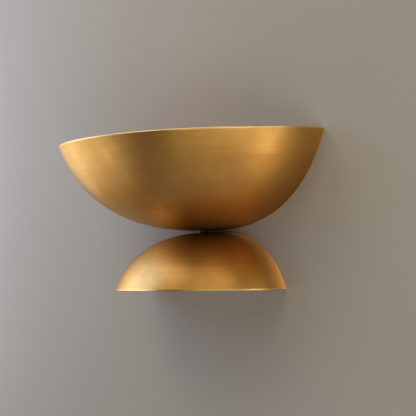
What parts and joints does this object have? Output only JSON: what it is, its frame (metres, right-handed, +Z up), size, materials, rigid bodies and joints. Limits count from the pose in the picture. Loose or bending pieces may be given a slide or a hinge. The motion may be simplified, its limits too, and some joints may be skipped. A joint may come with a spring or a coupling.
{
  "type": "wall sconce",
  "caption": "Up and down wall sconce: a wide brushed brass half bowl opening upwards over a smaller half dome opening downwards, fixed to a wall strap, with plug-in lamps inside.",
  "frame": {"origin": "middle of the mounting strap's two slots, on the wall plane", "axes": "+X along the strap to the right as seen from the room, +Y into the wall, +Z up"},
  "size_m": [0.381, 0.1508, 0.1536],
  "materials": {
    "aged_brass": "fine circumferential brushing, aged, satin",
    "bright_brass": "turned, satin",
    "zinc_steel": "zinc plated",
    "pin_wire": "drawn nickel wire",
    "green_screw": "green dyed zinc",
    "ceramic": "unglazed steatite",
    "lamp_glass": "clear",
    "light_strip": "phosphor coated",
    "black_plastic": "moulded",
    "black_rubber": "moulded",
    "black_lead": "extruded insulation",
    "white_lead": "extruded insulation",
    "green_lead": "extruded insulation",
    "orange_plastic": "moulded"
  },
  "bodies": {
    "fixture": {"upper_bowl": "aged_brass", "lower_dome": "aged_brass", "upper_back_cover": "zinc_steel", "lower_back_cover": "zinc_steel", "upper_bowl_lugs": "bright_brass", "lower_dome_lugs": "bright_brass", "upper_lug_screws": "zinc_steel", "lower_lug_screws": "zinc_steel", "waist_spacer": "black_plastic", "waist_nipple": "zinc_steel", "nipple_bushings": "black_plastic", "waist_washers": "zinc_steel", "waist_nuts": "bright_brass", "mounting_strap": "zinc_steel", "mounting_studs": "zinc_steel", "stud_lock_nuts": "zinc_steel", "cap_nuts": "bright_brass", "strap_ground_screw": "green_screw", "cover_ground_screw": "green_screw", "ring_terminals": "bright_brass", "ground_wire": "green_lead", "upper_lamp_bracket": "zinc_steel", "upper_bracket_rivets": "zinc_steel", "upper_lamp_holder": "ceramic", "upper_holder_screws": "zinc_steel", "lower_lamp_bracket": "zinc_steel", "lower_bracket_rivets": "zinc_steel", "lower_lamp_holder": "ceramic", "lower_holder_screws": "zinc_steel", "upper_grommet": "black_rubber", "lower_grommet": "black_rubber", "upper_live_lead": "black_lead", "upper_neutral_lead": "white_lead", "lower_live_lead": "black_lead", "lower_neutral_lead": "white_lead", "wire_connectors": "orange_plastic"},
    "upper_lamp": {"upper_lamp_glass": "lamp_glass", "upper_lamp_foot": "ceramic", "upper_lamp_pins": "pin_wire", "upper_lamp_strip": "light_strip"},
    "lower_lamp": {"lower_lamp_glass": "lamp_glass", "lower_lamp_foot": "ceramic", "lower_lamp_pins": "pin_wire", "lower_lamp_strip": "light_strip"}
  },
  "joints": [
    {"name": "upper_lamp_plug", "type": "slide", "parent": "fixture", "child": "upper_lamp", "axis": [0, 0, 1], "range_m": [0, 0.015]},
    {"name": "lower_lamp_plug", "type": "slide", "parent": "fixture", "child": "lower_lamp", "axis": [0, 0, -1], "range_m": [0, 0.015]}
  ]
}
